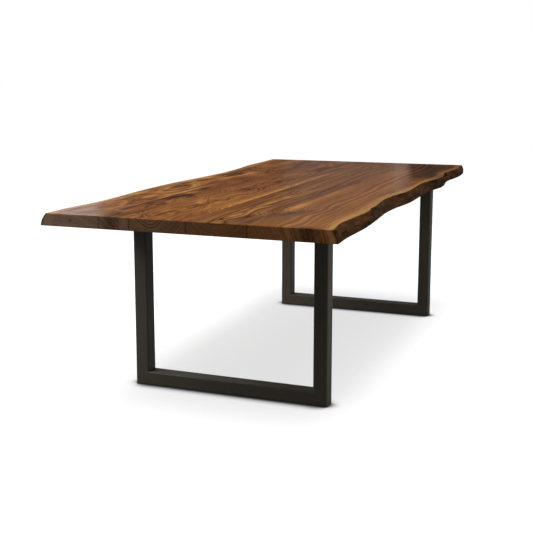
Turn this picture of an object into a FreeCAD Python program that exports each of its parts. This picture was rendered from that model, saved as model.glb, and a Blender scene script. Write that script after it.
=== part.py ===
import FreeCAD, Part
import os
from math import cos, pi, sin

# A live edge dining table: five edge-glued walnut boards on two U-shaped frames of
# rectangular steel tube. Each frame is two uprights and a floor rail, mitred and
# welded, with a flat plate across the top that is screwed up into the slab.
# Millimetres. +X runs along the table, +Z is up, and the origin is on the floor
# under the middle of the top. Left is +Y and right is -Y; near is -X and far is +X.

Vector = FreeCAD.Vector

# ---------------------------------------------------------------- driving sizes
# slab
table_height = 760.0
top_length = 2500.0
top_thickness = 46.0
half_width = 555.0            # middle line of each live edge, from the centre line

# glue lines between the boards: y at the near end, y at the far end
seam_ends = {
    "a": (284.0, 396.0),
    "b": (162.0, 197.0),
    "c": (-57.0, -12.0),
    "d": (-283.0, -264.0),
}

# live edges: share of the half length, how far the upper arris wanders out from the
# middle line, and how far the lower arris stands out past the upper one
left_edge = [
    (-1.00, -52.0, 24.0), (-0.90, -46.0, 22.0), (-0.74, -56.0, 19.0), (-0.51, -40.0, 17.0),
    (-0.12, -19.0, 20.0), (0.08, -32.0, 21.0), (0.30, -34.0, 19.0), (0.48, -21.0, 14.0),
    (0.62, 2.0, 13.0), (0.80, 13.0, 15.0), (1.00, 28.0, 16.0),
]
right_edge = [
    (-1.00, 28.0, 16.0), (-0.92, 12.0, 27.0), (-0.68, 16.0, 19.0), (-0.42, -9.0, 18.0),
    (-0.25, -16.0, 25.0), (-0.14, 0.0, 21.0), (0.02, 3.0, 16.0), (0.24, -3.0, 17.0),
    (0.43, 24.0, 8.0), (0.56, 6.0, 8.0), (0.68, -1.0, 7.0), (0.77, 9.0, 6.0),
    (1.00, -2.0, 11.0),
]
edge_swell = 4.0              # how far the live edge bows out between its arrises

# loose tenons inside the glue lines
tenon_length = 50.0           # across the glue line
tenon_width = 40.0            # along the glue line
tenon_thickness = 8.0
tenon_pitch = 400.0
tenon_end_gap = 200.0         # least distance from a tenon to the end of the slab
tenon_clearance = 0.15        # all round, in the mortise

# steel frames
frame_width = 820.0
frame_overhang = 443.0        # from the end of the slab to the frame's outer face
near_frame_y = -16.0          # middle of each frame, across the table
far_frame_y = -76.0
tube_face = 56.0              # seen from the end of the table
tube_depth = 64.0             # along the table
tube_wall = 3.0
tube_corner = 5.0             # outer corner radius

# mounting plates
plate_thickness = 6.0
plate_width = 100.0
plate_inset = 2.0             # the plate stops short of the frame's outer faces
slot_columns = 2              # along the plate, in each of two rows
slot_column_gap = 600.0
slot_row_gap = 56.0
slot_extra = 12.0             # the slots are longer than they are wide, across the grain

# fasteners
screw_diameter = 8.0
screw_clearance = 1.0
screw_length = 26.0           # under the flange
screw_flange_diameter = 18.0
screw_flange_thickness = 1.6
screw_head_flats = 13.0       # across flats
screw_head_height = 8.0       # flange included
insert_diameter = 13.0
insert_length = 25.0
thread_gap = 0.05             # between the screw and the insert's bore
insert_pocket_gap = 0.1       # between the insert and the wood

# ---------------------------------------------------------------- derived sizes
half_length = top_length / 2
top_under = table_height - top_thickness
plate_under = top_under - plate_thickness
beyond = 40.0                 # how far cutting tools reach past what they cut

os.makedirs("parts", exist_ok=True)


def save(name, shapes):
    """Write one node, from one solid or a list of separate ones."""
    solids = shapes if isinstance(shapes, list) else [shapes]
    shape = solids[0] if len(solids) == 1 else Part.makeCompound(solids)
    shape.exportStep("parts/" + name + ".step")
    print(name, len(solids), "solid(s)", "valid" if shape.isValid() else "NOT VALID")


def box(x0, y0, z0, x1, y1, z1):
    """A box from its lowest corner to its highest."""
    return Part.makeBox(x1 - x0, y1 - y0, z1 - z0, Vector(x0, y0, z0))


def cylinder(x, y, z0, z1, diameter):
    """An upright cylinder."""
    return Part.makeCylinder(diameter / 2, z1 - z0, Vector(x, y, z0))


def flat_face(points):
    """A flat face bounded by straight lines through the points."""
    return Part.Face(Part.makePolygon([Vector(*p) for p in points + points[:1]]))


# ---------------------------------------------------------------- slab
def live_edge_cutter(side, stations):
    """The waste outside a live edge: a smooth sheet, swept outwards.

    The sheet passes through the upper arris, a bowed middle line and the lower
    arris, and runs on past the ends, the upper face and the underside.
    """
    past_end = beyond / half_length
    first = (-1 - past_end,) + stations[0][1:]
    last = (1 + past_end,) + stations[-1][1:]
    rows = []
    for step in range(-1, 6):
        down = step / 4
        swell = edge_swell * sin(pi * min(max(down, 0), 1))
        z = table_height - down * top_thickness
        row = []
        for share, wander, flare in [first] + stations + [last]:
            y = half_width + wander + down * flare + swell
            row.append(Vector(share * half_length, side * y, z))
        rows.append(row)
    sheet = Part.BSplineSurface()
    sheet.interpolate(rows)
    return sheet.toShape().extrude(Vector(0, side * 2 * half_width, 0))


def seam_y(name, x):
    """Where a glue line is at a given x."""
    near, far = seam_ends[name]
    return near + (far - near) * (x + half_length) / top_length


def board_blank(left_seam, right_seam):
    """A board with straight, slightly tapering sides, cut square at both ends."""
    wide = 2 * half_width
    left = [seam_y(left_seam, x) if left_seam else wide for x in (-half_length, half_length)]
    right = [seam_y(right_seam, x) if right_seam else -wide for x in (-half_length, half_length)]
    outline = flat_face([
        (-half_length, right[0], top_under),
        (half_length, right[1], top_under),
        (half_length, left[1], top_under),
        (-half_length, left[0], top_under),
    ])
    return outline.extrude(Vector(0, 0, top_thickness))


def tenon_stations():
    """Where the loose tenons sit along a glue line, evenly about the middle."""
    room = top_length - 2 * tenon_end_gap
    count = int(room / tenon_pitch) + 1
    start = -tenon_pitch * (count - 1) / 2
    return [start + tenon_pitch * index for index in range(count)]


def tenon(x, y, clearance=0.0):
    """A flat loose tenon lying across the glue line, or its mortise."""
    thick = tenon_thickness / 2 + clearance
    wide = tenon_width / 2 + clearance
    reach = tenon_length / 2 + clearance
    z = top_under + top_thickness / 2
    return box(x - wide, y - reach, z - thick, x + wide, y + reach, z + thick)


# ---------------------------------------------------------------- steel frames
def rounded_tube(length):
    """A rectangular tube along +Z from the origin, with rounded corners."""
    def profile(inset, radius):
        wide = tube_face / 2 - inset
        deep = tube_depth / 2 - inset
        block = box(-deep, -wide, 0, deep, wide, length)
        edges = [e for e in block.Edges if abs(e.tangentAt(e.FirstParameter).z) > 0.9]
        return block.makeFillet(radius, edges)
    return profile(0, tube_corner).cut(profile(tube_wall, tube_corner - tube_wall))


def frame_x(end):
    """Middle of a frame's tubes along the table; end is -1 near and +1 far."""
    return end * (half_length - frame_overhang - tube_depth / 2)


def corner_wedge(x, y, side, above):
    """Everything above, or below, the mitre plane of one bottom corner.

    The mitre runs up and inwards from the frame's outer bottom corner.
    """
    outer_y = y + side * frame_width / 2
    reach = 2 * frame_width
    corner = (outer_y + side * beyond, reach) if above else (outer_y - side * reach, -beyond)
    triangle = [(outer_y + side * beyond, -beyond), (outer_y - side * reach, reach), corner]
    face = flat_face([(x - tube_depth, py, pz) for py, pz in triangle])
    return face.extrude(Vector(2 * tube_depth, 0, 0))


def upright(end, y, side):
    """One upright, mitred at the floor and closed above by the mounting plate."""
    x = frame_x(end)
    tube = rounded_tube(plate_under)
    tube.translate(Vector(x, y + side * (frame_width - tube_face) / 2, 0))
    return tube.common(corner_wedge(x, y, side, True))


def floor_rail(end, y):
    """The rail that lies on the floor, mitred at both ends."""
    x = frame_x(end)
    tube = rounded_tube(frame_width)
    tube.rotate(Vector(0, 0, 0), Vector(1, 0, 0), -90)
    tube.translate(Vector(x, y - frame_width / 2, tube_face / 2))
    for side in (-1, 1):
        tube = tube.common(corner_wedge(x, y, side, False))
    return tube


def fastening_points(end, y):
    """Centres of the slots of one mounting plate."""
    x = frame_x(end)
    points = []
    for row in (-1, 1):
        for column in range(slot_columns):
            offset = (column - (slot_columns - 1) / 2) * slot_column_gap
            points.append((x + row * slot_row_gap / 2, y + offset))
    return points


def slot_tool(x, y):
    """A through slot, long across the grain so that the slab can move."""
    diameter = screw_diameter + screw_clearance
    z0 = plate_under - beyond
    z1 = top_under + beyond
    tool = box(x - diameter / 2, y - slot_extra / 2, z0, x + diameter / 2, y + slot_extra / 2, z1)
    for side in (-1, 1):
        tool = tool.fuse(cylinder(x, y + side * slot_extra / 2, z0, z1, diameter))
    return tool.removeSplitter()


def mounting_plate(end, y):
    """A flat bar across the tops of the uprights, with two rows of slots."""
    x = frame_x(end)
    reach = frame_width / 2 - plate_inset
    plate = box(x - plate_width / 2, y - reach, plate_under, x + plate_width / 2, y + reach, top_under)
    corners = [e for e in plate.Edges if abs(e.tangentAt(e.FirstParameter).z) > 0.9]
    plate = plate.makeFillet(tube_corner, corners)
    for px, py in fastening_points(end, y):
        plate = plate.cut(slot_tool(px, py))
    return plate


# ---------------------------------------------------------------- fasteners
def screw(x, y):
    """A hex flange screw pointing up into the slab; its flange bridges the slot."""
    corner = screw_head_flats / 2 / cos(pi / 6)
    hexagon = flat_face([
        (x + corner * cos(pi * k / 3), y + corner * sin(pi * k / 3), plate_under - screw_head_height)
        for k in range(6)
    ])
    head = hexagon.extrude(Vector(0, 0, screw_head_height))
    flange = cylinder(x, y, plate_under - screw_flange_thickness, plate_under, screw_flange_diameter)
    shank = cylinder(x, y, plate_under, plate_under + screw_length, screw_diameter)
    return head.fuse([flange, shank]).removeSplitter()


def insert_body(x, y, gap=0.0):
    """The outside of a threaded insert, or with a gap, its pocket in the wood."""
    top = top_under + insert_length
    return cylinder(x, y, top_under, top + gap, insert_diameter + 2 * gap)


def threaded_insert(x, y):
    """A brass sleeve let into the underside of the slab, flush with it."""
    bore = screw_diameter + 2 * thread_gap
    return insert_body(x, y).cut(cylinder(x, y, top_under - beyond, table_height, bore))


# ---------------------------------------------------------------- build
frames = [("near", -1, near_frame_y), ("far", 1, far_frame_y)]

pockets = []
for frame_name, end, frame_y in frames:
    pockets += [insert_body(x, y, insert_pocket_gap) for x, y in fastening_points(end, frame_y)]

mortises = []
for seam_name in seam_ends:
    mortises += [tenon(x, seam_y(seam_name, x), tenon_clearance) for x in tenon_stations()]

left_waste = live_edge_cutter(1, left_edge)
right_waste = live_edge_cutter(-1, right_edge)
boards = [
    ("board_left_live_edge", None, "a"),
    ("board_left_inner", "a", "b"),
    ("board_middle", "b", "c"),
    ("board_right_inner", "c", "d"),
    ("board_right_live_edge", "d", None),
]
for board_name, left_seam, right_seam in boards:
    board = board_blank(left_seam, right_seam)
    if left_seam is None:
        board = board.cut(left_waste)
    if right_seam is None:
        board = board.cut(right_waste)
    box_now = board.BoundBox
    tools = [t for t in mortises + pockets if box_now.intersect(t.BoundBox)]
    board = board.cut(Part.makeCompound(tools))
    save(board_name, board.Solids)

for seam_name in seam_ends:
    tenons = [tenon(x, seam_y(seam_name, x)) for x in tenon_stations()]
    save("loose_tenons_" + seam_name, tenons)

for frame_name, end, frame_y in frames:
    save(frame_name + "_left_upright", upright(end, frame_y, 1))
    save(frame_name + "_right_upright", upright(end, frame_y, -1))
    save(frame_name + "_floor_rail", floor_rail(end, frame_y))
    save(frame_name + "_mounting_plate", mounting_plate(end, frame_y))
    points = fastening_points(end, frame_y)
    save(frame_name + "_plate_screws", [screw(x, y) for x, y in points])
    save(frame_name + "_threaded_inserts", [threaded_insert(x, y) for x, y in points])
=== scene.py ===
# %% [markdown]
# # A live edge dining table
# Five walnut boards are glued edge to edge and carried by two U-shaped frames of steel
# tube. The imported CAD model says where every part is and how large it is. This file
# gives the boards their natural edges and their figure, gives the steel its coating,
# and stands the table in a plain studio.

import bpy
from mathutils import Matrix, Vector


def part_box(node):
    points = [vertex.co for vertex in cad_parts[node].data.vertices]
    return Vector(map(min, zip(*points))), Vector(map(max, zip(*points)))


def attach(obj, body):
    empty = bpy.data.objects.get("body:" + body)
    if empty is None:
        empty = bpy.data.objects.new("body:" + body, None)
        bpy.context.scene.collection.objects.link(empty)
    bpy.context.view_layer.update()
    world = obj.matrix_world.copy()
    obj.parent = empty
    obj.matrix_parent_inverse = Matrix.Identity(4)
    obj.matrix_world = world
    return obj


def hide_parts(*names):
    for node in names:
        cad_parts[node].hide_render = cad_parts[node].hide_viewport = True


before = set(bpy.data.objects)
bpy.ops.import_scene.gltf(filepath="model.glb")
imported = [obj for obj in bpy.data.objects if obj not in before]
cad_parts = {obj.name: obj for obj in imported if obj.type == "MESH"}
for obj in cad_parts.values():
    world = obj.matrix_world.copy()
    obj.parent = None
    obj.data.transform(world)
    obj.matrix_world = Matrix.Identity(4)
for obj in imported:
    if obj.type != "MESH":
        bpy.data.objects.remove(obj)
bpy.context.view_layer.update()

# %% Modules
from math import pi, radians

import bpy
import numpy as np
from mathutils import Vector

# %% [markdown]
# ## The studio
# The table stands on a seamless white sweep. The sky is brightest overhead, so the top
# is lighter than the sides and the shadow is faint. One lamp lights only the paper,
# which keeps that shadow pale and soft. Three lamps light only the dark steel, from the
# near left and from either side, so that its edges still read. Four lamps stand low
# behind the table and light only the boards: two lay a pale sheen on the near left
# corner of the top, and two a narrow streak and a wide one on the far right. Fewer
# lamps would do if wood, steel and paper shared them, but then none of the three could
# be made lighter or darker alone.

# %% Camera
CAMERA_PLACE = (-4.1468, -1.4827, 1.2372)
CAMERA_PITCH = -0.16823
CAMERA_YAW = 0.37190          # from +X towards +Y
CAMERA_LENS = 64.72
CAMERA_SHIFT = -0.047         # the lens is a little lowered, so the legs stand more upright
SENSOR_WIDTH = 36.0

camera_data = bpy.data.cameras.new("camera")
camera_data.lens = CAMERA_LENS
camera_data.sensor_width = SENSOR_WIDTH
camera_data.shift_y = CAMERA_SHIFT
camera_data.clip_end = 500.0
camera = bpy.data.objects.new("camera", camera_data)
camera.location = CAMERA_PLACE
camera.rotation_euler = (pi / 2 + CAMERA_PITCH, 0, CAMERA_YAW - pi / 2)
bpy.context.scene.collection.objects.link(camera)
bpy.context.scene.camera = camera
bpy.context.scene.view_settings.view_transform = "Standard"
print("camera at", CAMERA_PLACE, "lens", CAMERA_LENS)


# %% Small tools
def linear(code):
    """An sRGB hex colour such as "#9a6639" as linear red, green, blue and alpha."""
    shares = np.array([int(code[i:i + 2], 16) for i in (1, 3, 5)]) / 255
    bright = ((shares + 0.055) / 1.055) ** 2.4
    return (*np.where(shares <= 0.04045, shares / 12.92, bright).tolist(), 1.0)


def add(tree, kind, inputs=None, stops=(), **settings):
    """Add a node and set its properties, its colour stops and its inputs.

    An input takes a value, a socket to link, or a node, whose first output is linked.
    Colour stops are pairs of a place from 0 to 1 and a hex colour.
    """
    made = tree.nodes.new("ShaderNode" + kind)
    for name, value in settings.items():
        setattr(made, name, value)
    if stops:
        elements = made.color_ramp.elements
        while len(elements) < len(stops):
            elements.new(0.5)
        for element, (place, code) in zip(elements, stops):
            element.position = place
            element.color = linear(code)
    for socket, value in (inputs or {}).items():
        if isinstance(value, bpy.types.Node):
            value = value.outputs[0]
        if isinstance(value, bpy.types.NodeSocket):
            tree.links.new(value, made.inputs[socket])
        else:
            made.inputs[socket].default_value = value
    return made


FACTOR, FIRST, SECOND, MIXED = 0, 6, 7, 2    # the sockets of a Mix node set to RGBA
print("orange streak", [round(value, 3) for value in linear("#c28a4a")])


# %% World
SKY_LOW = 0.36                # light from the horizon up
SKY_FOCUS = 7.0               # how closely the rest of the light keeps to the zenith
SKY_TOP = 0.66                # what that rest adds on a level top
SKY_HIGH = SKY_TOP * (SKY_FOCUS + 2) / 2     # its brightness at the zenith


def seen_straight(tree):
    """1 for the rays that show a surface, directly or mirrored, and 0 for those that light."""
    path = add(tree, "LightPath").outputs
    seen = add(tree, "Math", {0: path["Is Camera Ray"], 1: path["Is Glossy Ray"]},
               operation="MAXIMUM")
    return add(tree, "Math", {0: seen, 1: path["Is Transmission Ray"]}, operation="MAXIMUM")


world = bpy.data.worlds.new("studio")
bpy.context.scene.world = world
world.use_nodes = True
sky = world.node_tree
sky.nodes.clear()
direction = add(sky, "TexCoord").outputs["Generated"]
height = add(sky, "SeparateXYZ", {0: direction}).outputs["Z"]
height = add(sky, "Math", {0: height, 1: 0.0}, operation="MAXIMUM")
overhead = add(sky, "Math", {0: height, 1: SKY_FOCUS}, operation="POWER")
glow = add(sky, "Math", {0: overhead, 1: SKY_HIGH, 2: SKY_LOW}, operation="MULTIPLY_ADD")
lighting = add(sky, "Background", {"Color": (1, 1, 1, 1), "Strength": glow})
backdrop = add(sky, "Background", {"Color": (1, 1, 1, 1), "Strength": 1.0})
both = add(sky, "MixShader", {0: seen_straight(sky), 1: lighting, 2: backdrop})
add(sky, "OutputWorld", {"Surface": both})
print("light on a level top", SKY_LOW + SKY_TOP)

# %% Floor
FLOOR_REACH = 150.0
FLOOR_WHITENESS = 0.69        # share of plain white mixed over the lit floor
# Near the rails the paper carries a painted contact shadow, drawn from how open it is.
GAP_REACH = 0.090             # how far from the rails the paper darkens, where they sit on it
GAP_RAYS = 16
GAP_OPEN = (0.54, 0.85)       # openness at which the paper is darkest, and at which it is white
GAP_DARKEST = 0.05
FLOOR_BOUNCE = "#4e4e4e"      # the paper as the table sees it, so that little light comes up

corners = [(x * FLOOR_REACH, y * FLOOR_REACH, 0) for x, y in ((-1, -1), (1, -1), (1, 1), (-1, 1))]
floor_mesh = bpy.data.meshes.new("floor")
floor_mesh.from_pydata(corners, [], [(0, 1, 2, 3)])
floor = bpy.data.objects.new("floor", floor_mesh)
bpy.context.scene.collection.objects.link(floor)

sweep = bpy.data.materials.new("matt_white_paper_sweep")
sweep.use_nodes = True
paper = sweep.node_tree
paper.nodes.clear()
# Painted contact shadow: the paper's colour and its white glow are dimmed where the rails hem it
# in.
ao_openness = add(paper, "AmbientOcclusion", {"Distance": GAP_REACH}, samples=GAP_RAYS).outputs["AO"]
painted_contact_shade = add(paper, "MapRange", {"Value": ao_openness, "From Min": GAP_OPEN[0], "From Max": GAP_OPEN[1],
                              "To Min": GAP_DARKEST})
lit = add(paper, "BsdfDiffuse", {"Color": painted_contact_shade})
white = add(paper, "Emission", {"Color": (1, 1, 1, 1), "Strength": painted_contact_shade})
shown = add(paper, "MixShader", {0: FLOOR_WHITENESS, 1: lit, 2: white})
bounce = add(paper, "BsdfDiffuse", {"Color": linear(FLOOR_BOUNCE)})
both = add(paper, "MixShader", {0: seen_straight(paper), 1: bounce, 2: shown})
add(paper, "OutputMaterial", {"Surface": both})
floor_mesh.materials.append(sweep)
print("floor", 2 * FLOOR_REACH, "m square")


# %% A lamp
def softbox(name, place, aim, size, glow, lights):
    """A rectangular area light that the camera does not see, turned to face a point.

    Its power is glow * pi * area, so that it looks `glow` times as bright as white paper.
    It lights only the objects of the collection `lights`.
    """
    data = bpy.data.lights.new(name, "AREA")
    data.shape = "RECTANGLE"
    data.size, data.size_y = size
    data.energy = glow * pi * size[0] * size[1]
    lamp = bpy.data.objects.new(name, data)
    lamp.location = place
    lamp.rotation_euler = (Vector(aim) - Vector(place)).to_track_quat("-Z", "Y").to_euler()
    lamp.visible_camera = False
    lamp.light_linking.receiver_collection = lights
    bpy.context.scene.collection.objects.link(lamp)


# %% Lamps
only_floor = bpy.data.collections.new("only_floor")
only_steel = bpy.data.collections.new("only_steel")
only_wood = bpy.data.collections.new("only_wood")    # the boards join it as they are made
only_floor.objects.link(floor)
for node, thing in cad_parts.items():
    if any(word in node for word in ("upright", "rail", "plate")):
        only_steel.objects.link(thing)

LAMPS = [                     # name, place, the point it faces, size, glow, what it lights
    ("floor_light", (-1.2, 0.0, 4.0), (-1.2, 0.001, 0.0), (6.8, 2.8), 7.0, only_floor),
    ("frame_light", (-2.3, 2.0, 2.6), (-0.5, 0.3, 0.2), (1.4, 1.4), 39.0, only_steel),
    ("side_light", (-0.3, -3.5, 1.6), (-0.3, 0.0, 0.3), (1.6, 0.9), 24.0, only_steel),
    ("left_light", (-0.3, 3.5, 1.3), (-0.3, 0.0, 0.0), (2.4, 0.7), 45.0, only_steel),
    ("corner_sheen", (3.5, 4.1, 1.6), (-1.25, 0.5, 0.76), (1.6, 1.9), 14.0, only_wood),
    ("corner_haze", (3.5, 4.1, 1.9), (-1.25, 0.5, 0.76), (2.3, 2.4), 1.1, only_wood),
    ("far_streak", (6.06, 0.93, 1.5), (0.4, -0.41, 0.76), (0.14, 1.0), 5.0, only_wood),
    ("far_sheen", (5.81, 1.52, 1.35), (0.4, -0.2, 0.76), (1.25, 0.9), 2.2, only_wood),
]
for lamp in LAMPS:
    softbox(*lamp)
print("lamps", [lamp[0] for lamp in LAMPS])

# %% [markdown]
# ## The boards
# A board is a block whose long sides are either straight glue lines or a live edge,
# the outside of the tree as it grew. It could be a box with a few cuts, but then its
# figure could only be painted on. Here each board is the outside of a lattice of
# points, so that every point knows where it lies in the log: how far it is from the
# heart, how near the bark, and whether it is end grain.

# %% Where the CAD boards are
BOARDS = {                    # node: is the left side live, is the right side live
    "board_left_live_edge": (True, False),
    "board_left_inner": (False, False),
    "board_middle": (False, False),
    "board_right_inner": (False, False),
    "board_right_live_edge": (False, True),
}
RIGHT, LEFT = -1, 1           # the two sides of a board, as the sign of y
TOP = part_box("board_middle")[1].z
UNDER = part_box("board_middle")[0].z
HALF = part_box("board_middle")[1].x
LENGTH, THICK = 2 * HALF, TOP - UNDER
NEAR_PLANE = 1e-4             # a vertex this close to a face lies on it
LIVE_FROM = 0.45              # live edges are further out than this


def is_live(name, side):
    """Whether a side of a board is a live edge."""
    return BOARDS[name][0 if side == LEFT else 1]


def node_points(name):
    """The vertices of a CAD node, as an array of rows x, y, z."""
    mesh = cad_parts[name].data
    flat = np.empty(len(mesh.vertices) * 3, np.float32)
    mesh.vertices.foreach_get("co", flat)
    return flat.reshape(-1, 3).astype(float)


def glue_line(name, side):
    """The y of a straight side at the near end and at the far end."""
    points = node_points(name)
    top = points[np.abs(points[:, 2] - TOP) < NEAR_PLANE]
    return [side * (side * top[np.abs(top[:, 0] - x) < NEAR_PLANE, 1]).max()
            for x in (-HALF, HALF)]


def live_arris(name, side, level):
    """The x and y of a live edge's arris at one height, in order along the board."""
    points = node_points(name)
    chosen = (np.abs(points[:, 2] - level) < NEAR_PLANE) & (side * points[:, 1] > LIVE_FROM)
    edge = np.unique(points[chosen][:, :2].round(5), axis=0)
    first = np.unique(edge[:, 0], return_index=True)[1]
    return edge[first].T


for side, name in ((LEFT, "board_left_live_edge"), (RIGHT, "board_right_live_edge")):
    counts = [live_arris(name, side, level).shape[1] for level in (TOP, UNDER)]
    print(name, "arris points", counts)


# %% Smooth noise
def waves(points, size, seed, count=32):
    """Smooth noise of about -1 to 1: cosine waves in random directions, added up.

    N(p) = 0.6 sqrt(2 / count) * sum of cos(k . (p / size) + phase), where each k is a
    random direction, 0.6 pi to 1.5 pi long, and size is the usual width of a bump along
    x, y and z.
    """
    draw = np.random.default_rng(seed)
    k = draw.normal(size=(count, 3))
    k *= (pi * draw.uniform(0.6, 1.5, count) / np.linalg.norm(k, axis=1))[:, None]
    phase = draw.uniform(0, 2 * pi, count)
    scaled = points / np.array(size)
    total = sum(np.cos(scaled @ k[i] + phase[i]) for i in range(count))
    return total * np.sqrt(2 / count) * 0.6


def edge_waves(x, z, size, seed):
    """The same noise on a live edge, over a grid of x and z; size is along x and z."""
    flat = np.stack([x.ravel(), np.zeros(x.size), z.ravel()], axis=1)
    return waves(flat, (size[0], 1, size[1]), seed).reshape(x.shape)


def spot(points, x, y, along, across, turn=0.0):
    """A soft oval patch on the top: exp(-(u/along)^2 - (v/across)^2), turned by `turn`."""
    dx, dy = points[:, 0] - x, points[:, 1] - y
    u = dx * np.cos(turn) + dy * np.sin(turn)
    v = dy * np.cos(turn) - dx * np.sin(turn)
    return np.exp(-(u / along) ** 2 - (v / across) ** 2)


print("noise at the origin", waves(np.zeros((1, 3)), (1, 1, 1), 0).round(3))

# %% [markdown]
# ## Live edges
# Under the bark the wood is not flat. It swells and dips with the growth of the tree,
# and where the bark was peeled there are hollows that still hold a little of it. A bump
# in the material would leave the outline smooth. The CAD model gives the long sweep of
# each edge; this adds the relief to the surface itself, always inwards, so the board
# stays within its CAD box.

# %% Relief of the live edges
SWELL = 0.004                 # the CAD edge bows out this far between its arrises
FINE_STATIONS = 1001          # where the CAD arris is read along the board
SMOOTHING = 0.012             # takes the corners off it
SMOOTHING_REACH = 40          # stations to either side that this takes in

DIPS = [                      # depth, size along x and z, seed, share of the depth at rest
    (0.0012, (0.075, 0.030), 11, 0.5),       # long shallow dips
    (0.0005, (0.022, 0.012), 21, 0.4),       # chatter
]
DIP_VARIES, DIP_LIMIT = 0.6, 1.4             # how much the dips vary, and how deep they get
RAGGED = ((0.016, 0.010), 31)                # the outlines of the bark pockets: size, seed

BARK_POCKETS = {              # x, height, half length, half height, depth
    RIGHT: [
        (-1.230, 0.745, 0.018, 0.012, 0.005), (-1.130, 0.727, 0.045, 0.010, 0.004),
        (-0.860, 0.724, 0.050, 0.010, 0.003), (-0.745, 0.742, 0.022, 0.009, 0.004),
        (-0.680, 0.754, 0.050, 0.009, 0.005), (-0.190, 0.751, 0.060, 0.008, 0.004),
        (0.400, 0.749, 0.050, 0.009, 0.004), (0.560, 0.735, 0.030, 0.008, 0.003),
        (0.745, 0.750, 0.060, 0.012, 0.006),
    ],
    LEFT: [
        (-0.900, 0.736, 0.050, 0.010, 0.004), (-0.350, 0.745, 0.070, 0.009, 0.004),
        (0.150, 0.730, 0.060, 0.010, 0.005), (0.480, 0.744, 0.035, 0.010, 0.004),
        (0.950, 0.738, 0.060, 0.010, 0.004),
    ],
}
print("bark pockets", {side: len(pockets) for side, pockets in BARK_POCKETS.items()})


# %% Shape of a live edge
def bark_depth(side, x, z):
    """How deep the bark pockets are at x and z: a sum of ovals with ragged outlines.

    Each is its depth times 1.15 less its oval and half the noise, kept from 0 to 1.
    """
    size, seed = RAGGED
    ragged = edge_waves(x, z, size, seed + side)
    depth = np.zeros_like(x)
    for px, pz, along, high, deep in BARK_POCKETS[side]:
        oval = ((x - px) / along) ** 2 + ((z - pz) / high) ** 2 + 0.5 * ragged
        depth += deep * np.clip(1.15 - oval, 0, 1)
    return depth


def smooth_arris(name, side, level, x):
    """The y of a CAD arris at x, averaged along the board with a bell of width SMOOTHING."""
    fine = np.linspace(-HALF, HALF, FINE_STATIONS)
    reach = np.arange(-SMOOTHING_REACH, SMOOTHING_REACH + 1) * (fine[1] - fine[0])
    bell = np.exp(-(reach / SMOOTHING) ** 2 / 2)
    bell /= bell.sum()
    rough = np.interp(fine, *live_arris(name, side, level))
    rough = np.pad(rough, SMOOTHING_REACH, "reflect", reflect_type="odd")
    return np.interp(x, fine, np.convolve(rough, bell, "valid"))


def live_edge(name, side, x, z):
    """The y of a live edge over a grid of x and z.

    It runs from the upper arris to the lower one in a straight line with a bow of
    SWELL sin(pi down), less the dips and the bark pockets.
    """
    down = (TOP - z) / THICK
    upper, lower = [smooth_arris(name, side, level, x) for level in (TOP, UNDER)]
    y = side * (upper + (lower - upper) * down) + SWELL * np.sin(pi * down)
    for depth, size, seed, rest in DIPS:
        dips = rest + DIP_VARIES * edge_waves(x, z, size, seed + side)
        y -= depth * np.clip(dips, 0, DIP_LIMIT)
    y -= bark_depth(side, x, z)
    return side * y


stations = np.linspace(-HALF, HALF, 5)
arris = live_edge("board_right_live_edge", RIGHT, stations, np.full(5, TOP))
print("y of the right upper arris at", stations, "is", arris.round(3))

# %% [markdown]
# ## A board as the outside of a lattice
# A cube can be cut into a lattice of small cells, and the board is the skin of that
# lattice, pushed into shape. Its quads are all about 5 by 4 mm, fine enough for the
# relief of the live edges and for the figure, which is stored at the points. The
# arrises are sanded round by drawing the outermost points in. A Bevel modifier would
# round them too, but would also catch on the relief.

# %% Lattice
EASED = 0.002                 # radius of the sanded arrises
ALONG_STEP = 0.0052
ACROSS_STEP = 0.0040
DOWN_STEP = 0.0036


def spread(width, step, start, end):
    """Distances from 0 to width, evenly spaced, with closer ones across an eased arris.

    width may be an array: the distances then form one more axis, the last. start and
    end are 1 where that end has an eased arris and 0 where it is a glue line.
    """
    width = np.asarray(width, float)
    count = int(round(float(width.mean()) / step)) + 1
    even = np.linspace(EASED * start + 0 * width, width - EASED * end, count, axis=-1)
    rise = np.multiply.outer(np.ones_like(width), EASED * np.array([0, 0.5]))
    head = [rise] if start else []
    tail = [width[..., None] - rise[..., ::-1]] if end else []
    return np.concatenate(head + [even] + tail, axis=-1)


def shell(shape):
    """The outside points of a lattice, as index rows, and the outward quads that join them."""
    inside = np.zeros(shape, bool)
    inside[1:-1, 1:-1, 1:-1] = True
    number = np.cumsum(~inside).reshape(shape) - 1
    quads = []
    for axis, end, flip in ((0, 0, 1), (0, -1, 0), (1, 0, 0), (1, -1, 1), (2, 0, 1), (2, -1, 0)):
        plane = np.take(number, end, axis=axis)
        corners = [plane[:-1, :-1], plane[1:, :-1], plane[1:, 1:], plane[:-1, 1:]]
        quads.append(np.stack([c.ravel() for c in (corners[::-1] if flip else corners)], axis=1))
    return np.argwhere(~inside), np.concatenate(quads)


def ease(distances):
    """How far to draw a point in from each face so that square arrises become round.

    e is what each distance falls short of the radius. A point moves in by
    e (1 - max(e) / |e|), which lays the corner of a square on its quarter circle.
    """
    short = np.clip(EASED - distances, 0, None)
    length = np.linalg.norm(short, axis=1)
    share = np.divide(short.max(axis=1), length, out=np.ones_like(length), where=length > 0)
    return short * (1 - share)[:, None]


print("a square corner moves in by", ease(np.zeros((1, 2))).round(5))


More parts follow.
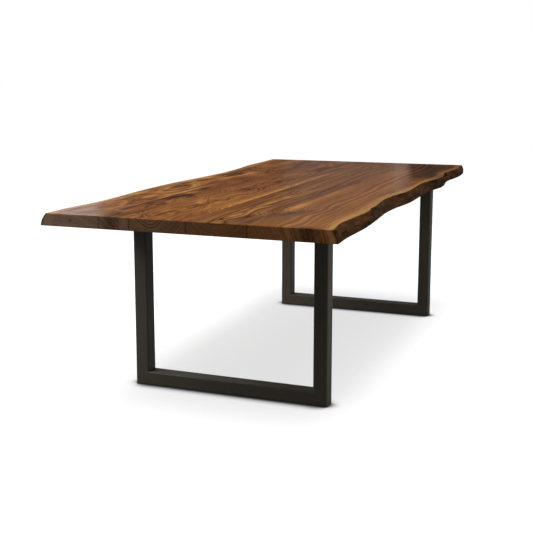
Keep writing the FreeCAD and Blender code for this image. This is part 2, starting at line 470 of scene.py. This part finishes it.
# %% Shape of a board
def board_points(name):
    """The points of a board, the quads between them, and each point's way to six faces.

    The faces are the near and far end, the underside and the top, and the right and
    left live edge. A glue line counts as 1 m away, because it is neither eased nor bark.
    """
    live_left, live_right = BOARDS[name]
    xs = spread(LENGTH, ALONG_STEP, 1, 1) - HALF
    zs = UNDER + spread(THICK, DOWN_STEP, 1, 1)
    x, z = np.meshgrid(xs, zs, indexing="ij")
    sides = [live_edge(name, side, x, z) if is_live(name, side)
             else np.interp(x, (-HALF, HALF), glue_line(name, side)) for side in (RIGHT, LEFT)]
    across = spread(sides[1] - sides[0], ACROSS_STEP, int(live_right), int(live_left))
    rows, quads = shell((len(xs), across.shape[-1], len(zs)))
    i, j, k = rows.T
    right, left = sides[0][i, k], sides[1][i, k]
    points = np.stack([xs[i], right + across[i, k, j], zs[k]], axis=1)
    far = np.full(len(points), 1.0)
    from_faces = np.stack([
        points[:, 0] + HALF, HALF - points[:, 0],
        points[:, 2] - UNDER, TOP - points[:, 2],
        points[:, 1] - right if live_right else far,
        left - points[:, 1] if live_left else far,
    ], axis=1)
    inward = ease(from_faces)
    points[:, 0] += inward[:, 0] - inward[:, 1]
    points[:, 2] += inward[:, 2] - inward[:, 3]
    points[:, 1] += inward[:, 4] - inward[:, 5]
    return points, quads, from_faces


def volume(points, quads):
    """The volume inside outward quads: the sum of a . (b x c) / 6 over their triangles."""
    a, b, c, d = (points[quads[:, n]] for n in range(4))
    halves = [np.einsum("ij,ij->i", a, np.cross(*pair)).sum() for pair in ((b, c), (c, d))]
    return float(sum(halves) / 6)


board_shapes = {name: board_points(name) for name in BOARDS}
for name, (points, quads, _) in board_shapes.items():
    print(name, len(quads), "quads", round(volume(points, quads) * 1000, 2), "litres")

# %% [markdown]
# ## Figure of the wood
# The figure of a board is where its faces cut the growth rings of the log. So each
# board gets the line of the log's heart, in the board or outside it, and a point's
# ring is its distance from that line. Slow waves bend the rings as real trees do. A
# strong wave of hand size gives the flames of wood cut near a fork, and knots push the
# rings aside. Painting streaks on the top would be quicker, but the end grain and the
# edges would then not agree with it.

# %% Growth of each board
GROWTH = {
    # heart: y and z of the heart at the near end, then at the far end
    # wander: how far slow waves bend the rings; flame: how far hand-sized ones do
    # lines: how clearly the rings show on the long faces, and on an end
    # dark, warm: at the near end and at the far end, from 0 to 1
    "board_left_live_edge": dict(
        heart=(0.440, 0.480, 0.440, 0.560), wander=0.012, flame=0.013,
        lines=(1.0, 0.40), dark=(0.45, 0.56), warm=(0.85, 0.40)),
    "board_left_inner": dict(
        heart=(0.320, 0.650, 0.330, 0.690), wander=0.012, flame=0.014,
        lines=(1.0, 0.95), dark=(0.49, 0.68), warm=(0.95, 0.35)),
    "board_middle": dict(
        heart=(0.083, 0.810, 0.120, 0.830), wander=0.010, flame=0.012,
        lines=(1.0, 0.90), dark=(0.44, 0.68), warm=(1.00, 0.35)),
    "board_right_inner": dict(
        heart=(-0.172, 0.830, -0.130, 0.800), wander=0.006, flame=0.004,
        lines=(1.1, 0.85), dark=(0.46, 0.70), warm=(0.80, 0.35)),
    "board_right_live_edge": dict(
        heart=(-0.200, 0.650, -0.170, 0.640), wander=0.007, flame=0.005,
        lines=(0.58, 0.80), dark=(0.42, 0.62), warm=(0.70, 0.35)),
}

KNOTS = {                     # x, y, half length, half width, turn, how far rings are pushed
    "board_left_inner": [(-0.650, 0.255, 0.100, 0.045, 0.0, 0.030),
                         (-1.120, 0.220, 0.070, 0.030, 0.0, 0.018)],
    "board_middle": [(-0.710, 0.083, 0.050, 0.030, 0.0, 0.035)],
    # one swirl lies across the glue line of the two right boards
    "board_right_inner": [(-0.920, -0.330, 0.150, 0.055, -0.50, -0.050)],
    "board_right_live_edge": [(-0.920, -0.330, 0.150, 0.055, -0.50, -0.050)],
}
SWIRL = (-0.980, -0.300, 0.160, 0.080, -0.50)    # where its rings show more clearly
SWIRL_LINES = 0.5
print("knots", sum(len(rows) for rows in KNOTS.values()))

# %% [markdown]
# ## Patches
# Oil, minerals and the turn of the fibres make patches of wood darker or paler, in
# streaks that mostly run with the board. Some cross a glue line, where neighbouring
# boards were sawn one after the other. More noise would give patches of the same kind,
# but not where they are wanted, so each is a soft oval with its own place and size.
# Two also paint sheen: one pales the left of the near end, one greys the near left
# corner of the top.

# %% Dark and pale patches
# Each row is x, y, half length, half width, turn and amount. SHADES darken with + and
# lighten with -, and TINTS warm with + and cool with -.
SHADES = [
    (-0.650, 0.273, 0.085, 0.022, -0.10, 0.45), (-0.600, 0.235, 0.060, 0.020, 0.30, 0.30),
    (-0.560, 0.270, 0.035, 0.015, 0.00, 0.25), (-0.650, 0.255, 0.030, 0.012, 0.00, -0.20),
    (-0.650, 0.306, 0.230, 0.008, 0.02, 0.40), (-0.830, 0.338, 0.090, 0.008, 0.02, 0.35),
    (-0.650, 0.324, 0.250, 0.007, 0.02, -0.30), (-0.400, 0.334, 0.160, 0.010, 0.05, -0.22),
    (-0.870, 0.285, 0.035, 0.018, 0.10, 0.35), (-0.860, 0.230, 0.035, 0.016, 0.10, 0.35),
    (-1.180, 0.235, 0.050, 0.022, 0.10, 0.20), (-1.090, 0.262, 0.050, 0.012, 0.00, -0.25),
    (-1.000, 0.295, 0.120, 0.012, 0.00, 0.25), (-1.050, 0.208, 0.140, 0.014, 0.00, 0.25),
    (-1.090, 0.103, 0.110, 0.007, 0.02, 0.50), (-0.860, 0.073, 0.090, 0.007, 0.02, 0.18),
    (-1.040, 0.128, 0.060, 0.010, 0.00, -0.25), (-0.740, 0.125, 0.080, 0.016, 0.25, -0.28),
    (-0.700, 0.074, 0.018, 0.012, 0.00, 0.40), (-0.640, 0.395, 0.130, 0.038, 0.05, -0.25),
    (-0.930, 0.410, 0.100, 0.018, 0.00, 0.14), (-0.480, 0.475, 0.100, 0.020, 0.15, 0.22),
    (-0.400, 0.430, 0.050, 0.030, 0.30, -0.20), (-0.120, 0.410, 0.120, 0.030, 0.15, -0.16),
    (-0.320, 0.300, 0.050, 0.016, 0.20, 0.25), (-0.300, 0.110, 0.080, 0.040, 0.10, 0.22),
    (0.080, 0.280, 0.160, 0.035, 0.10, 0.25), (0.350, 0.335, 0.080, 0.020, 0.10, -0.10),
    (-1.130, 0.010, 0.150, 0.060, 0.00, 0.16), (-1.180, -0.150, 0.050, 0.016, 0.00, 0.25),
    (-0.750, -0.152, 0.300, 0.020, 0.00, -0.25), (-0.380, -0.150, 0.080, 0.020, 0.00, 0.22),
    (-0.720, -0.110, 0.180, 0.012, 0.02, 0.22), (-0.300, -0.075, 0.300, 0.012, 0.02, 0.18),
    (-0.400, -0.235, 0.600, 0.022, 0.00, 0.14), (-0.930, -0.325, 0.130, 0.032, -0.50, 0.20),
    (-1.040, -0.170, 0.090, 0.020, 0.00, -0.18), (-0.844, 0.079, 0.050, 0.020, 0.00, 0.20),
    (-1.080, -0.275, 0.080, 0.005, 0.15, -0.20), (-0.760, -0.290, 0.130, 0.022, 0.00, -0.30),
    (-0.450, -0.290, 0.350, 0.020, 0.00, -0.16), (-1.150, -0.285, 0.090, 0.025, 0.00, 0.08),
    (-0.580, 0.375, 0.080, 0.025, 0.00, -0.22), (-0.470, 0.375, 0.050, 0.025, 0.00, -0.22),
    (-0.480, 0.290, 0.060, 0.025, 0.00, -0.25), (-0.940, 0.385, 0.070, 0.030, 0.00, -0.12),
    (-0.290, 0.390, 0.070, 0.030, 0.10, -0.25), (0.070, 0.380, 0.100, 0.020, 0.10, -0.30),
    (0.060, 0.475, 0.080, 0.020, 0.10, -0.25), (0.240, 0.460, 0.080, 0.030, 0.10, 0.25),
    (0.350, 0.420, 0.100, 0.030, 0.10, 0.20), (-0.720, 0.420, 0.100, 0.020, 0.00, -0.15),
    (-0.280, 0.200, 0.060, 0.030, 0.10, -0.10), (-0.780, 0.050, 0.080, 0.020, 0.00, -0.18),
    (-0.850, 0.010, 0.250, 0.025, 0.00, -0.12), (-1.180, -0.235, 0.060, 0.030, 0.00, 0.16),
    (-1.180, -0.320, 0.080, 0.040, 0.00, 0.08), (-0.380, -0.070, 0.060, 0.020, 0.00, -0.18),
    (-0.660, -0.150, 0.060, 0.020, 0.00, -0.14), (0.320, 0.390, 0.120, 0.040, 0.10, -0.12),
    (-1.080, 0.360, 0.080, 0.040, 0.00, -0.12), (-1.120, 0.130, 0.080, 0.050, 0.00, 0.12),
    (-0.200, -0.140, 0.150, 0.020, 0.00, 0.10), (-1.250, -0.495, 0.030, 0.035, 0.00, 0.34),
    # The second row pales the left of the near end: a painted sheen on the end grain.
    (-1.250, -0.425, 0.030, 0.014, 0.00, -0.08), (-1.250, 0.400, 0.030, 0.120, 0.00, -0.17),
    (-1.250, 0.235, 0.030, 0.025, 0.00, 0.15), (-1.250, 0.185, 0.030, 0.018, 0.00, -0.15),
]
TINTS = [
    # The second row greys the near left corner of the top: a painted grey sheen, over the lamp's
    # own.
    (-1.020, -0.315, 0.200, 0.060, -0.45, -0.85), (-1.250, 0.430, 0.190, 0.140, 0.00, -0.80),
    (-0.640, 0.260, 0.120, 0.050, 0.00, -0.35), (-0.300, -0.230, 0.700, 0.040, 0.00, -0.25),
    (-0.300, -0.290, 0.600, 0.030, 0.00, 0.25), (0.150, 0.300, 0.350, 0.120, 0.00, 0.35),
]
print("patches", len(SHADES) + len(TINTS))

# %% Rings
BOARD_SEEDS = {name: 50 + index for index, name in enumerate(BOARDS)}
WAVES = {                     # size along x, y and z, and what it adds to the board's seed
    "wander": ((0.42, 0.09, 0.09), 0),
    "flame": ((0.160, 0.040, 0.040), 10),
    "shade": ((0.30, 0.07, 0.07), 20),
    "sap": ((0.25, 0.2, 0.06), 30),
}
SWAY_Y = (1.6, 0.55, 41)      # the heart's slow wave: share of wander, length and seed
SWAY_Z = (0.9, 0.45, 42)
SWAY_FROM = 1 / 6             # share of the board over which it sets in


def board_waves(name, points, kind):
    """One kind of smooth noise on a board."""
    size, step = WAVES[kind]
    return waves(points, size, BOARD_SEEDS[name] + step)


def ramp(value, start, length):
    """0 up to `start`, then evenly up to 1 over `length`."""
    return np.clip((value - start) / length, 0, 1)


def heart_line(wood, x, share):
    """The y and z of the log's heart along a board.

    Each runs straight from its near value to its far one, plus a slow wave that sets
    in over the first sixth of the board, because the near end shows where the heart is.
    """
    near_y, near_z, far_y, far_z = wood["heart"]
    line = np.stack([x, np.zeros_like(x), np.zeros_like(x)], axis=1)
    wander = wood["wander"] * ramp(share, 0, SWAY_FROM)
    return [near + (far - near) * share + much * wander * waves(line, (size, 1, 1), seed)
            for near, far, (much, size, seed) in ((near_y, far_y, SWAY_Y),
                                                  (near_z, far_z, SWAY_Z))]


def ring_radius(name, points, share, quiet, flaming):
    """A point's ring: its distance from the heart, bent by waves, flames and knots."""
    wood = GROWTH[name]
    x, y, z = points.T
    heart_y, heart_z = heart_line(wood, x, share)
    radius = np.hypot(y - heart_y, z - heart_z)
    radius += wood["wander"] * quiet * board_waves(name, points, "wander")
    radius += wood["flame"] * flaming * board_waves(name, points, "flame")
    for *oval, push in KNOTS.get(name, []):
        radius += push * spot(points, *oval)
    return radius


print("board seeds", BOARD_SEEDS)

# %% Shade and warmth
SHADE_VARIES = 0.07           # how much slow waves darken or lighten the wood


def shade_and_warmth(name, points, share, quiet):
    """How dark and how warm the wood is: an even change along the board, and patches."""
    (dark_near, dark_far), (warm_near, warm_far) = GROWTH[name]["dark"], GROWTH[name]["warm"]
    shade = dark_near + (dark_far - dark_near) * share
    shade += SHADE_VARIES * quiet * board_waves(name, points, "shade")
    warmth = warm_near + (warm_far - warm_near) * share
    for quality, patches in ((shade, SHADES), (warmth, TINTS)):
        for *oval, amount in patches:
            quality += amount * spot(points, *oval)
    return shade, warmth


centre = np.array([[0.0, 0.0, TOP]])
print("shade and warmth mid-table", shade_and_warmth("board_middle", centre, np.array([0.5]), 1))

# %% [markdown]
# ## Sapwood, ends and marks
# The last rings under the bark are pale sapwood. A sawn end drinks more of the finish
# than a face does, so it is darker and duller, and it shows its glue lines, the rim that
# the bark left and a pin knot. They could be thin pieces of their own, or an image laid
# over the boards. Here they are worked out from how far a point is from the bark, the
# glue lines and the ends, so they follow every bend of the live edges.

# %% Sapwood
LEFT_SAP, RIGHT_SAP = 0.045, 0.044    # its depth under each live edge
END_SAP_LESS = 0.012                  # on the ends the right one is this much thinner
SAP_VARIES = 0.010                    # how far its depth varies
SAP_FADE = 0.022                      # how softly it turns to heartwood
END_FADE_LESS = 0.014                 # on the ends this much more sharply


def sapwood(name, points, live_gap, ends, quiet):
    """1 under a live edge, then fading to 0 where the heartwood starts."""
    depth = LEFT_SAP if "left" in name else RIGHT_SAP - END_SAP_LESS * ends
    depth = depth + SAP_VARIES * quiet * board_waves(name, points, "sap")
    return np.clip((depth - live_gap) / (SAP_FADE - END_FADE_LESS * ends), 0, 1)


print("sapwood", LEFT_SAP, "and", RIGHT_SAP, "m deep")

# %% Marks on the ends
END_SAP_PALE = 0.45                   # how much paler sapwood is there
PIN_KNOT = (0.400, 0.739, 0.004)      # a pin knot: y, z and radius
PIN_KNOT_DARK = 0.6
GLUE_WIDTH, GLUE_DARK = 0.002, 0.30
RIM_WIDTH, RIM_DARK = 0.008, 0.9


def end_marks(name, points, live_gap, sap):
    """How much darker an end is: a pin knot, glue lines and the rim, less the sapwood.

    Each mark is its darkness times exp(-(distance / width)^2).
    """
    x, y, z = points.T
    knot_y, knot_z, knot_radius = PIN_KNOT
    marks = PIN_KNOT_DARK * np.exp(-((y - knot_y) ** 2 + (z - knot_z) ** 2) / knot_radius ** 2)
    for side in (RIGHT, LEFT):
        if not is_live(name, side):
            joint = np.interp(x, (-HALF, HALF), glue_line(name, side)) - y
            marks += GLUE_DARK * np.exp(-(joint / GLUE_WIDTH) ** 2)
    marks += RIM_DARK * np.exp(-(live_gap / RIM_WIDTH) ** 2)
    return marks - END_SAP_PALE * sap


print("pin knot at", PIN_KNOT[:2])

# %% A pale streak, and a dark zone that is partly painted shade
STREAK_WIDTH = 0.032                  # the streak lies along the middle board's right seam
STREAK_RISE = (-0.95, 0.3)            # where it starts, and how long it takes to set in
STREAK_FALL = (0.75, 1.1)             # where it ends, and how long it takes to fade
STREAK_PALE, STREAK_SAP, STREAK_WARM = 0.42, 0.2, 0.3

# The dark zone is partly darker heartwood and partly painted shade, where the top mirrors no
# light.
DARK_FROM = (0.577, -0.391, 0.241)    # the zone lies to the right of the line through this
DARK_SOFT = 0.04                      # x and y with this slope, and starts this softly
DARK_RISE = (0.25, 0.3)               # where it starts, and how long it takes to set in
DARK_AMOUNT = 0.31


def pale_streak(points):
    """1 along the right seam of the middle board, fading towards both ends."""
    x, y, _ = points.T
    above = y - np.interp(x, (-HALF, HALF), glue_line("board_middle", RIGHT))
    end, fade = STREAK_FALL
    return np.exp(-(above / STREAK_WIDTH) ** 2) * ramp(x, *STREAK_RISE) * ramp(-x, -end, fade)


def dark_wood_and_painted_shade(points):
    """1 to the right of a slanting line near the far end: darker wood, and painted shade where
    the top mirrors no light.
    """
    x, y, _ = points.T
    start_x, start_y, slope = DARK_FROM
    return ramp(start_y + (x - start_x) * slope - y, 0, DARK_SOFT) * ramp(x, *DARK_RISE)


print("dark zone from x", DARK_RISE[0])

# %% Everything the material reads
QUIET_DEPTH, QUIET = 0.06, 0.2        # so near an end, the waves shrink to this share
FLAME_NEAR, FLAME_LOSS = 1.6, 1.5     # flames are strong at the near end and die out
FLAME_RANGE = (0.15, 1.5)
FLAME_FULL = 0.013                    # a board with this flame shows it in full
LINES_FADE = 0.4                      # share of the lines' clearness lost at the far end
# An end turns cooler and greyer to the left: partly the wood, partly a painted sheen.
END_WARM, END_COOLS = 0.72, 1.5       # an end's warmth mid-table, and its loss per metre left
END_SAP_WARM = 0.45                   # how much sapwood adds to it
POCKET_FULL = 0.004                   # a bark pocket this deep is full of bark
LIVE_STAIN = 0.90                     # share of the bark's stain on a live edge


def growth(name, points, from_faces):
    """What the wood is at each point: one value per point for each named quality."""
    wood = GROWTH[name]
    x, y, z = points.T
    share = (x + HALF) / LENGTH
    end_gap, live_gap = from_faces[:, :2].min(axis=1), from_faces[:, 4:].min(axis=1)
    ends, live_side = 1 - ramp(end_gap, 0, EASED), 1 - ramp(live_gap, 0, EASED)
    quiet = QUIET + (1 - QUIET) * ramp(end_gap, 0, QUIET_DEPTH)
    flaming = np.clip(FLAME_NEAR - FLAME_LOSS * share, *FLAME_RANGE) * quiet

    shade, warmth = shade_and_warmth(name, points, share, quiet)
    sap = sapwood(name, points, live_gap, ends, quiet)
    shade += ends * end_marks(name, points, live_gap, sap)
    if name == "board_middle":
        streak = pale_streak(points)
        sap = np.maximum(sap, STREAK_SAP * streak)
        shade -= STREAK_PALE * streak
        warmth += STREAK_WARM * streak
    if name == "board_right_live_edge":
        # the dark zone: partly darker wood, partly painted shade where the top mirrors no light
        zone = dark_wood_and_painted_shade(points)
        shade += DARK_AMOUNT * zone
        warmth += zone
    # cooler and greyer to the left: partly the wood, partly a painted sheen on the near end
    end_warmth = np.clip(END_WARM - END_COOLS * y + END_SAP_WARM * sap, 0, 1)

    face_lines, end_lines = wood["lines"]
    lines = (1 - LINES_FADE * share) * face_lines + SWIRL_LINES * spot(points, *SWIRL)
    pockets = [bark_depth(side, x, z) for side in (RIGHT, LEFT) if is_live(name, side)]
    return {
        "rings": ring_radius(name, points, share, quiet, flaming),
        "lines": lines * (1 - ends) + end_lines * ends,
        "shade": shade,
        "warmth": np.clip(warmth, 0, 1) * (1 - ends) + end_warmth * ends,
        "sapwood": sap,
        "end_grain": ends,
        "live_side": LIVE_STAIN * live_side,
        "bark": live_side * ramp(sum(pockets, np.zeros_like(x)), 0, POCKET_FULL),
        "flame": wood["flame"] / FLAME_FULL * flaming,
    }


grown = {name: growth(name, points, from_faces)
         for name, (points, _, from_faces) in board_shapes.items()}
for name, qualities in grown.items():
    print(name, "rings from", [round(float(f(qualities["rings"])), 3) for f in (np.min, np.max)])

# %% [markdown]
# ## Walnut
# Walnut has chocolate heartwood with orange and violet-grey streaks, tan sapwood under
# the bark, and open pores. The top is sanded and has a thin satin clear coat, which
# soaks into the end grain and darkens it. An image of a board would repeat and would
# not fit the ends. Here the material reads what each point is from the mesh, and draws
# the rings as noise of their true size and the pores as coarser streaks. All that
# darkens the wood is added up to one depth, and colour ramps turn that depth to colour:
# two for the heartwood, one for the sapwood, two for the ends and one for the bark.

# %% Sizes and colours of walnut
RING_MM = 5.0                 # one year of growth
BAND_MM = 17.0                # slow colour bands over several years
FIBRE_MM = (110.0, 4.5)       # pore streaks: length, width; drawn coarser than the real 5 by 0.2
CURL_MM = (110.0, 26.0)       # flames: along and across the board
MOTTLE_MM = 90.0              # stain left by the bark
CURL_BENDS = 0.020            # how far the flames bend the rings

YEAR, BAND, FIBRE, FLAME = 1.05, 0.80, 0.75, 2.5    # how strongly each darkens the wood
BAND_ON_ENDS = 0.4            # share of the bands that an end shows
POCKET_STAIN = 0.5            # how much more stain a bark pocket holds
PLAIN_FIBRE, FLAMED_FIBRE = 0.9, 0.3    # share of the streaks everywhere, and more on flames

HEART_WARM = [(0.0, "#c28a4a"), (0.25, "#9c6834"), (0.5, "#7e4c25"), (0.75, "#58331a"),
              (1.0, "#2c1a0b")]
HEART_COOL = [(0.0, "#9b7047"), (0.25, "#81583a"), (0.5, "#6b472e"), (0.75, "#4c311f"),
              (1.0, "#27180f")]
SAPWOOD = [(0.0, "#c08c50"), (0.5, "#98693a"), (1.0, "#5c3b20")]
ENDS_WARM = [(0.1, "#90653c"), (0.35, "#784f2e"), (0.55, "#634227"), (0.75, "#46291a"),
             (1.0, "#2a190f")]
# the greyish cool end colours also carry the painted sheen on the left of the near end
ENDS_COOL = [(0.1, "#9c8370"), (0.35, "#866e5c"), (0.55, "#6e5847"), (0.75, "#4c3a2e"),
             (1.0, "#2c211a")]
UNDER_BARK = [(0.3, "#5e3819"), (0.5, "#371f0d"), (0.7, "#130903")]

print("colour stops", sum(map(len, (HEART_WARM, HEART_COOL, SAPWOOD, ENDS_WARM, ENDS_COOL,
                                    UNDER_BARK))))

# %% Rings, bands and streaks
walnut = bpy.data.materials.new("walnut_satin_clear_coat")
walnut.use_nodes = True
grain = walnut.node_tree
place = add(grain, "TexCoord").outputs["Object"]
reading = {quality: add(grain, "Attribute", attribute_name=quality).outputs["Fac"]
           for quality in grown["board_middle"]}

curled = add(grain, "Mapping", {"Vector": place, "Scale": (
    1000 / CURL_MM[0], 1000 / CURL_MM[1], 1000 / CURL_MM[1])})
flames = add(grain, "TexNoise", {"Vector": curled, "Scale": 1.0, "Detail": 4.0,
                                 "Roughness": 0.70, "Distortion": 0.9})
flames = add(grain, "Math", {0: flames, 1: 0.5}, operation="SUBTRACT")
flames = add(grain, "Math", {0: flames, 1: reading["flame"]}, operation="MULTIPLY")
rings = add(grain, "Math", {0: flames, 1: CURL_BENDS, 2: reading["rings"]},
            operation="MULTIPLY_ADD")
year = add(grain, "TexNoise", {"W": rings, "Scale": 1000 / RING_MM, "Detail": 3.0,
                               "Roughness": 0.6}, noise_dimensions="1D")
band = add(grain, "TexNoise", {"W": rings, "Scale": 1000 / BAND_MM, "Detail": 1.0},
           noise_dimensions="1D")
stretched = add(grain, "Mapping", {"Vector": place, "Scale": (
    1000 / FIBRE_MM[0], 1000 / FIBRE_MM[1], 1000 / FIBRE_MM[1])})
fibre = add(grain, "TexNoise", {"Vector": stretched, "Scale": 1.0, "Detail": 3.0,
                                "Roughness": 0.65})
print("walnut nodes for the figure", len(grain.nodes))

# %% Depth of colour
band = add(grain, "Math", {0: band, 1: 0.5}, operation="SUBTRACT")
band_weight = add(grain, "Math", {0: reading["end_grain"], 1: (BAND_ON_ENDS - 1) * BAND, 2: BAND},
                  operation="MULTIPLY_ADD")
band = add(grain, "Math", {0: band, 1: band_weight}, operation="MULTIPLY")
year = add(grain, "Math", {0: year, 1: YEAR, 2: -YEAR / 2}, operation="MULTIPLY_ADD")
figure = add(grain, "Math", {0: band, 1: year}, operation="ADD")
depth = add(grain, "Math", {0: figure, 1: reading["lines"], 2: reading["shade"]},
            operation="MULTIPLY_ADD")
streaks = add(grain, "Math", {0: fibre, 1: 0.5}, operation="SUBTRACT")
streak_weight = add(grain, "Math", {0: reading["flame"], 1: FLAMED_FIBRE * FIBRE,
                                    2: PLAIN_FIBRE * FIBRE}, operation="MULTIPLY_ADD")
streaks = add(grain, "Math", {0: streaks, 1: streak_weight}, operation="MULTIPLY")
depth = add(grain, "Math", {0: streaks, 1: depth}, operation="ADD")
depth = add(grain, "Math", {0: flames, 1: FLAME, 2: depth}, operation="MULTIPLY_ADD")
print("walnut nodes with the depth", len(grain.nodes))

# %% Colour of the wood
warm = add(grain, "ValToRGB", {"Fac": depth}, HEART_WARM)
cool = add(grain, "ValToRGB", {"Fac": depth}, HEART_COOL)
tan = add(grain, "ValToRGB", {"Fac": depth}, SAPWOOD)
end_warm = add(grain, "ValToRGB", {"Fac": depth}, ENDS_WARM)
end_cool = add(grain, "ValToRGB", {"Fac": depth}, ENDS_COOL)
mottle = add(grain, "TexNoise", {"Vector": curled, "Scale": CURL_MM[0] / MOTTLE_MM,
                                 "Detail": 2.5, "Roughness": 0.55})
mottle = add(grain, "Math", {0: reading["bark"], 1: POCKET_STAIN, 2: mottle},
             operation="MULTIPLY_ADD")
stain = add(grain, "ValToRGB", {"Fac": mottle}, UNDER_BARK)

ends = add(grain, "Mix", {FACTOR: reading["warmth"], FIRST: end_cool, SECOND: end_warm},
           data_type="RGBA").outputs[MIXED]
wood = add(grain, "Mix", {FACTOR: reading["warmth"], FIRST: cool, SECOND: warm},
           data_type="RGBA").outputs[MIXED]
for share, over in (("sapwood", tan), ("end_grain", ends), ("live_side", stain)):
    wood = add(grain, "Mix", {FACTOR: reading[share], FIRST: wood, SECOND: over},
               data_type="RGBA").outputs[MIXED]
print("walnut nodes with the colours", len(grain.nodes))

# %% Sheen of the wood
# The sanded wood is matt, and rougher where its pores are. The thin satin coat over it
# mirrors the low lamps behind the table as a wide, soft sheen.
ROUGH_LEAST, ROUGH_IN_PORES = 0.52, 0.16
PORE_DEPTH, PORE_OPEN = 0.0006, 0.25    # depth of the pores, and the share the coat leaves

finish = grain.nodes["Principled BSDF"]
rough = add(grain, "Math", {0: fibre, 1: ROUGH_IN_PORES, 2: ROUGH_LEAST},
            operation="MULTIPLY_ADD")
relief = add(grain, "Bump", {"Height": fibre, "Strength": PORE_OPEN, "Distance": PORE_DEPTH})
for socket, value in (("Base Color", wood), ("Roughness", rough.outputs[0]),
                      ("Normal", relief.outputs[0])):
    grain.links.new(value, finish.inputs[socket])
finish.inputs["IOR"].default_value = 1.5
finish.inputs["Specular IOR Level"].default_value = 0.0   # all the gloss is in the coat
finish.inputs["Coat Weight"].default_value = 0.03
finish.inputs["Coat Roughness"].default_value = 0.22
print("walnut nodes", len(grain.nodes))


# %% Make the boards
def board(name):
    """The finished board: its surface, its growth as attributes, and its material."""
    points, quads, _ = board_shapes[name]
    mesh = bpy.data.meshes.new(name.replace("board_", "walnut_"))
    mesh.from_pydata(points.tolist(), [], quads.tolist())
    for quality, values in grown[name].items():
        made = mesh.attributes.new(quality, "FLOAT", "POINT")
        made.data.foreach_set("value", values.astype(np.float32))
    mesh.shade_smooth()
    mesh.set_sharp_from_angle(angle=radians(50))
    mesh.materials.append(walnut)
    piece = bpy.data.objects.new(mesh.name, mesh)
    bpy.context.scene.collection.objects.link(piece)
    only_wood.objects.link(piece)
    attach(piece, "root")
    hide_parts(name)
    return piece


boards = [board(name) for name in BOARDS]
print("boards", [piece.name for piece in boards])

# %% [markdown]
# ## Steel and fittings
# The frames are welded steel tube, blasted and powder coated in a dark bronze black.
# Powder flows out as it bakes and leaves a faint orange peel. The screws are zinc
# plated, the threaded inserts are brass, and the loose tenons are plain beech. They could
# be built again as finer surfaces, but the CAD solids already have the right corners, so
# each only gets a finish: a colour, a gloss and a fine bump of its own.


# %% A finish
ROUGH_VARIES = 0.10           # how far the roughness varies with the patches


def plain_material(name, code, roughness, metallic, mottle, mottle_mm, peel, peel_mm):
    """A finish whose colour varies by `mottle` in patches, with a fine bump on it.

    In millimetres, mottle_mm is the size of the patches, and peel and peel_mm are the
    height and the size of the bumps.
    """
    made = bpy.data.materials.new(name)
    made.use_nodes = True
    tree = made.node_tree
    skin = tree.nodes["Principled BSDF"]
    where = add(tree, "TexCoord").outputs["Object"]
    patch = add(tree, "TexNoise", {"Vector": where, "Scale": 1000 / mottle_mm, "Detail": 3.0})
    base = np.array(linear(code))
    low, high = base * (1 - mottle), base * (1 + mottle)
    low[3] = high[3] = 1
    shade = add(tree, "Mix", {FACTOR: patch, FIRST: low.tolist(), SECOND: high.tolist()},
                data_type="RGBA").outputs[MIXED]
    rough = add(tree, "Math", {0: patch, 1: ROUGH_VARIES, 2: roughness - ROUGH_VARIES / 2},
                operation="MULTIPLY_ADD")
    bumps = add(tree, "TexNoise", {"Vector": where, "Scale": 1000 / peel_mm, "Detail": 1.0})
    bump = add(tree, "Bump", {"Height": bumps, "Strength": 0.3, "Distance": peel / 1000})
    tree.links.new(shade, skin.inputs["Base Color"])
    tree.links.new(rough.outputs[0], skin.inputs["Roughness"])
    tree.links.new(bump.outputs[0], skin.inputs["Normal"])
    skin.inputs["Metallic"].default_value = metallic
    return made


print("roughness varies by", ROUGH_VARIES)


# %% Finishes of the fittings
# Powder coat looks nearly black and matt, with a soft sheen broken up by its orange peel.
coated_steel = plain_material("powder_coated_steel", "#2a2620", 0.36, 0.0, 0.12, 60, 0.10, 3.0)
coating = coated_steel.node_tree.nodes["Principled BSDF"]
coating.inputs["Specular IOR Level"].default_value = 0.0    # all the gloss is in the coat
coating.inputs["Coat Weight"].default_value = 0.14
coating.inputs["Coat Roughness"].default_value = 0.36

# Zinc plate is bright and cool grey, a little cloudy.
zinc_steel = plain_material("zinc_plated_steel", "#b9bcbd", 0.32, 1.0, 0.06, 12, 0.02, 1.0)

# Turned brass is a warm yellow, and its turning marks are too fine to show.
turned_brass = plain_material("turned_brass", "#b08d4a", 0.30, 1.0, 0.05, 10, 0.02, 1.0)

# Planed beech is pale and matt, with small flecks.
planed_beech = plain_material("planed_beech", "#c99f6c", 0.60, 0.0, 0.10, 8, 0.10, 1.5)

FINISHES = {"tenon": planed_beech, "insert": turned_brass, "screw": zinc_steel}


def finish_of(node):
    """Which finish a CAD node takes, from its name; the frames and plates are coated."""
    return next((made for word, made in FINISHES.items() if word in node), coated_steel)


for node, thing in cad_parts.items():
    if node in BOARDS:
        continue
    if not thing.material_slots:
        thing.data.materials.append(finish_of(node))
    for slot in thing.material_slots:
        slot.material = finish_of(node)
print("finished", len(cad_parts) - len(BOARDS), "CAD nodes")
